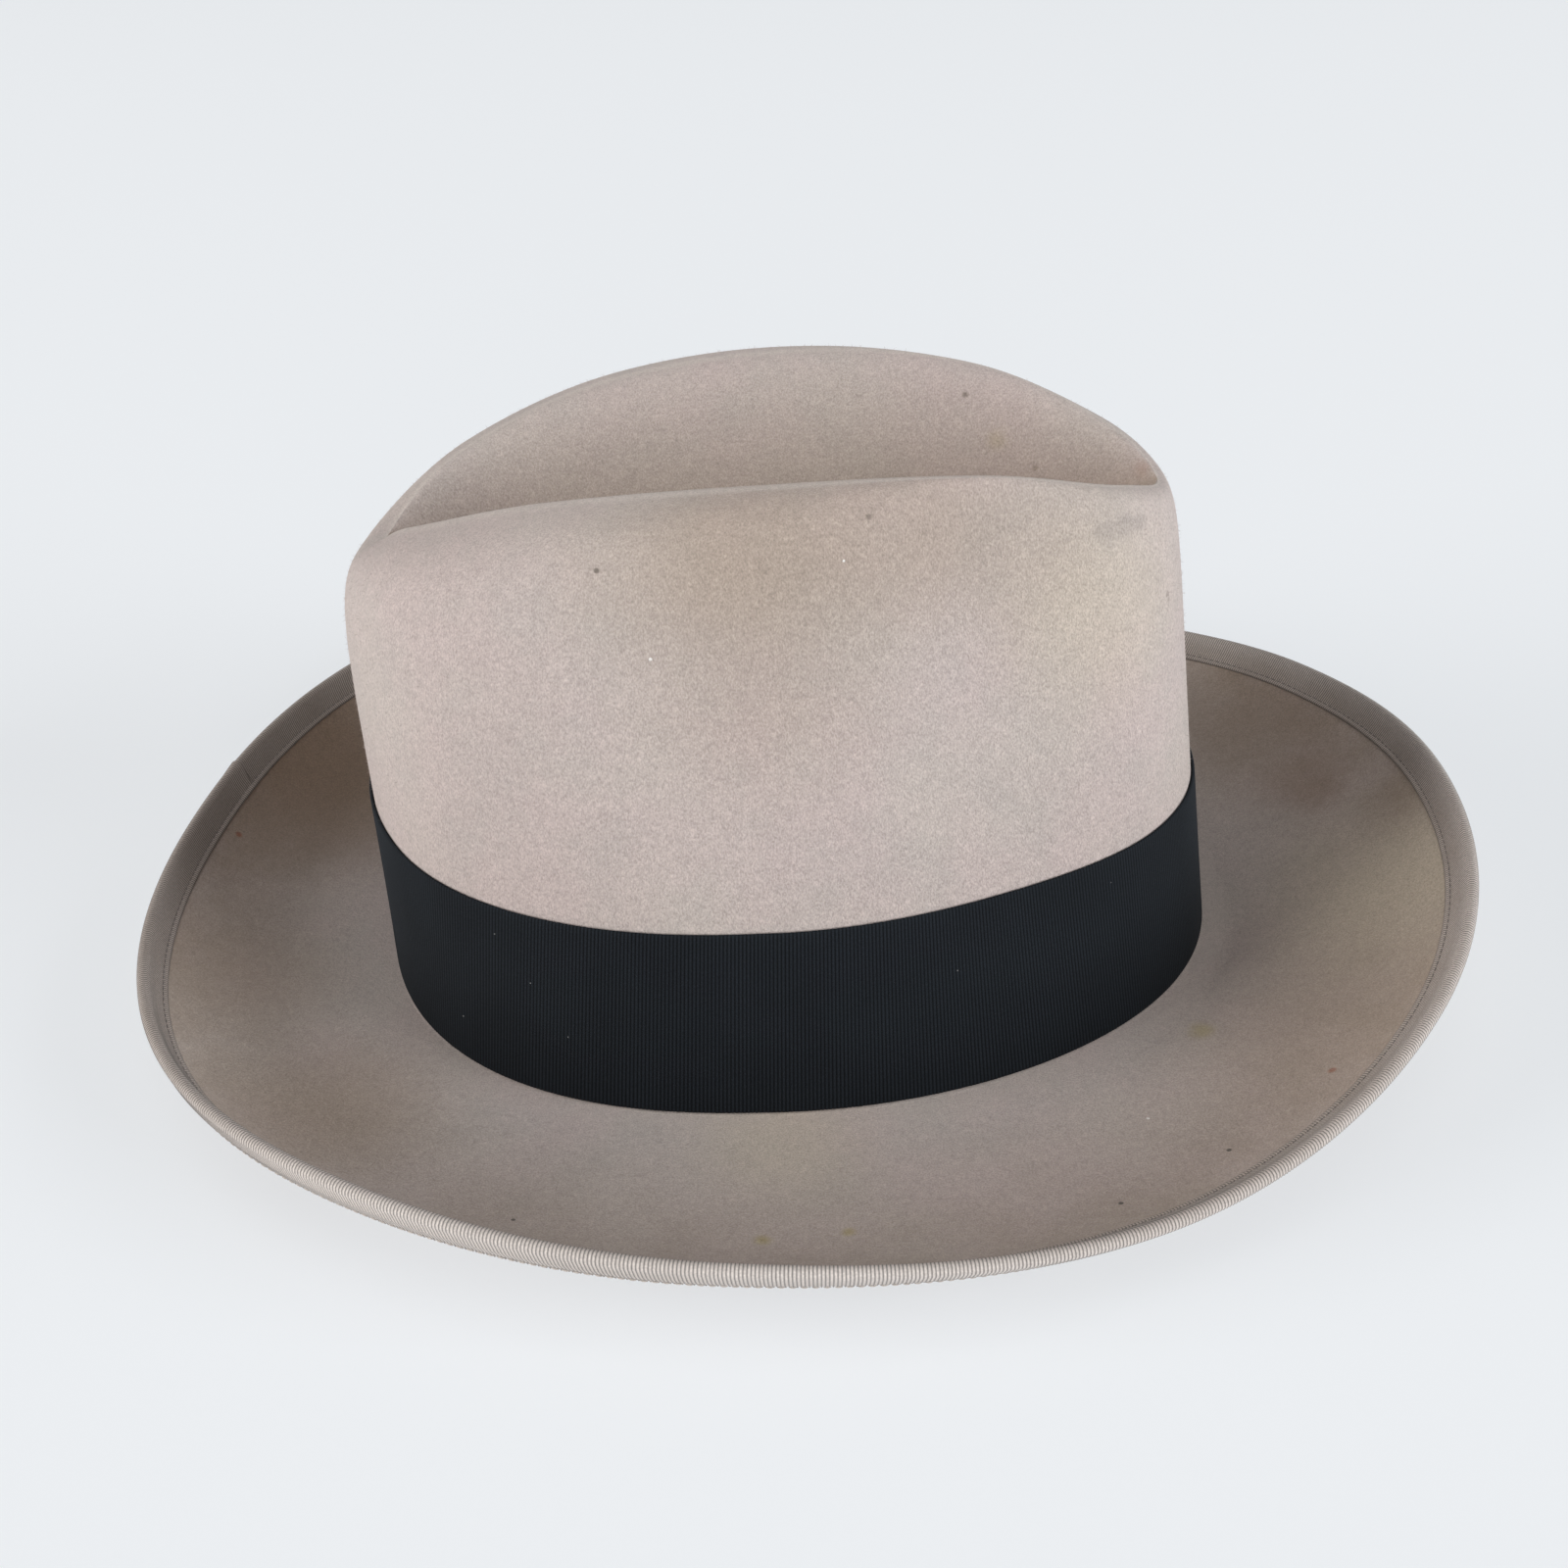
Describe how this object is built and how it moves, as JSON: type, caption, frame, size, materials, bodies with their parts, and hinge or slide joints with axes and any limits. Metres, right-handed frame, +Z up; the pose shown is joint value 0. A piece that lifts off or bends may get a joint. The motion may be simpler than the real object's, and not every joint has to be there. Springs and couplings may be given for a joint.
{
  "type": "fedora",
  "caption": "Felt fedora with a lengthwise crease in the crown, a wide ribbed ribbon band and a curled, ribbon-bound brim; worn on the head.",
  "frame": {"origin": "on the surface that the hat rests on, under the middle of its outline", "axes": "+X towards the wearer's front, +Y towards the wearer's left, +Z up"},
  "size_m": [0.318, 0.2942, 0.1291],
  "materials": {
    "felt": "brushed fur felt, pearl beige, matt with a fine nap",
    "band_ribbon": "black grosgrain ribbon with fine upright ribs",
    "binding_ribbon": "grosgrain ribbon in the felt's colour, slightly greyer"
  },
  "bodies": {
    "root": {"felt_body": "felt", "hat_band": "band_ribbon", "brim_binding": "binding_ribbon"}
  },
  "joints": []
}
